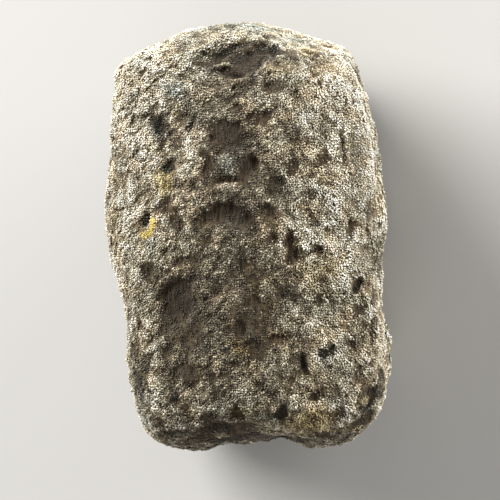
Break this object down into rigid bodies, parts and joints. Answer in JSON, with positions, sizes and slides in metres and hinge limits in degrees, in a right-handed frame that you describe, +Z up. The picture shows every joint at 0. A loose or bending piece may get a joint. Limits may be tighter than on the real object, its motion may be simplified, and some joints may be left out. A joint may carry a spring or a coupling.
{
  "type": "petrified wood specimen",
  "caption": "Loose block of petrified wood, worn round, with a granular quartz crust and smooth brown hollows, lying on its broad flat side.",
  "frame": {"origin": "middle of the bounding box's bottom, on the flat that the stone rests on", "axes": "+X across the stone's width, +Y along its length, which is the old wood's grain, towards the end with the large hollow, and +Z up through its thickness"},
  "size_m": [0.046, 0.061, 0.032],
  "materials": {
    "silicified_wood": "matt weathered quartz crust, cream to grey, with smoother brown-grey hollows"
  },
  "bodies": {
    "root": {"petrified_wood": "silicified_wood"}
  },
  "joints": []
}
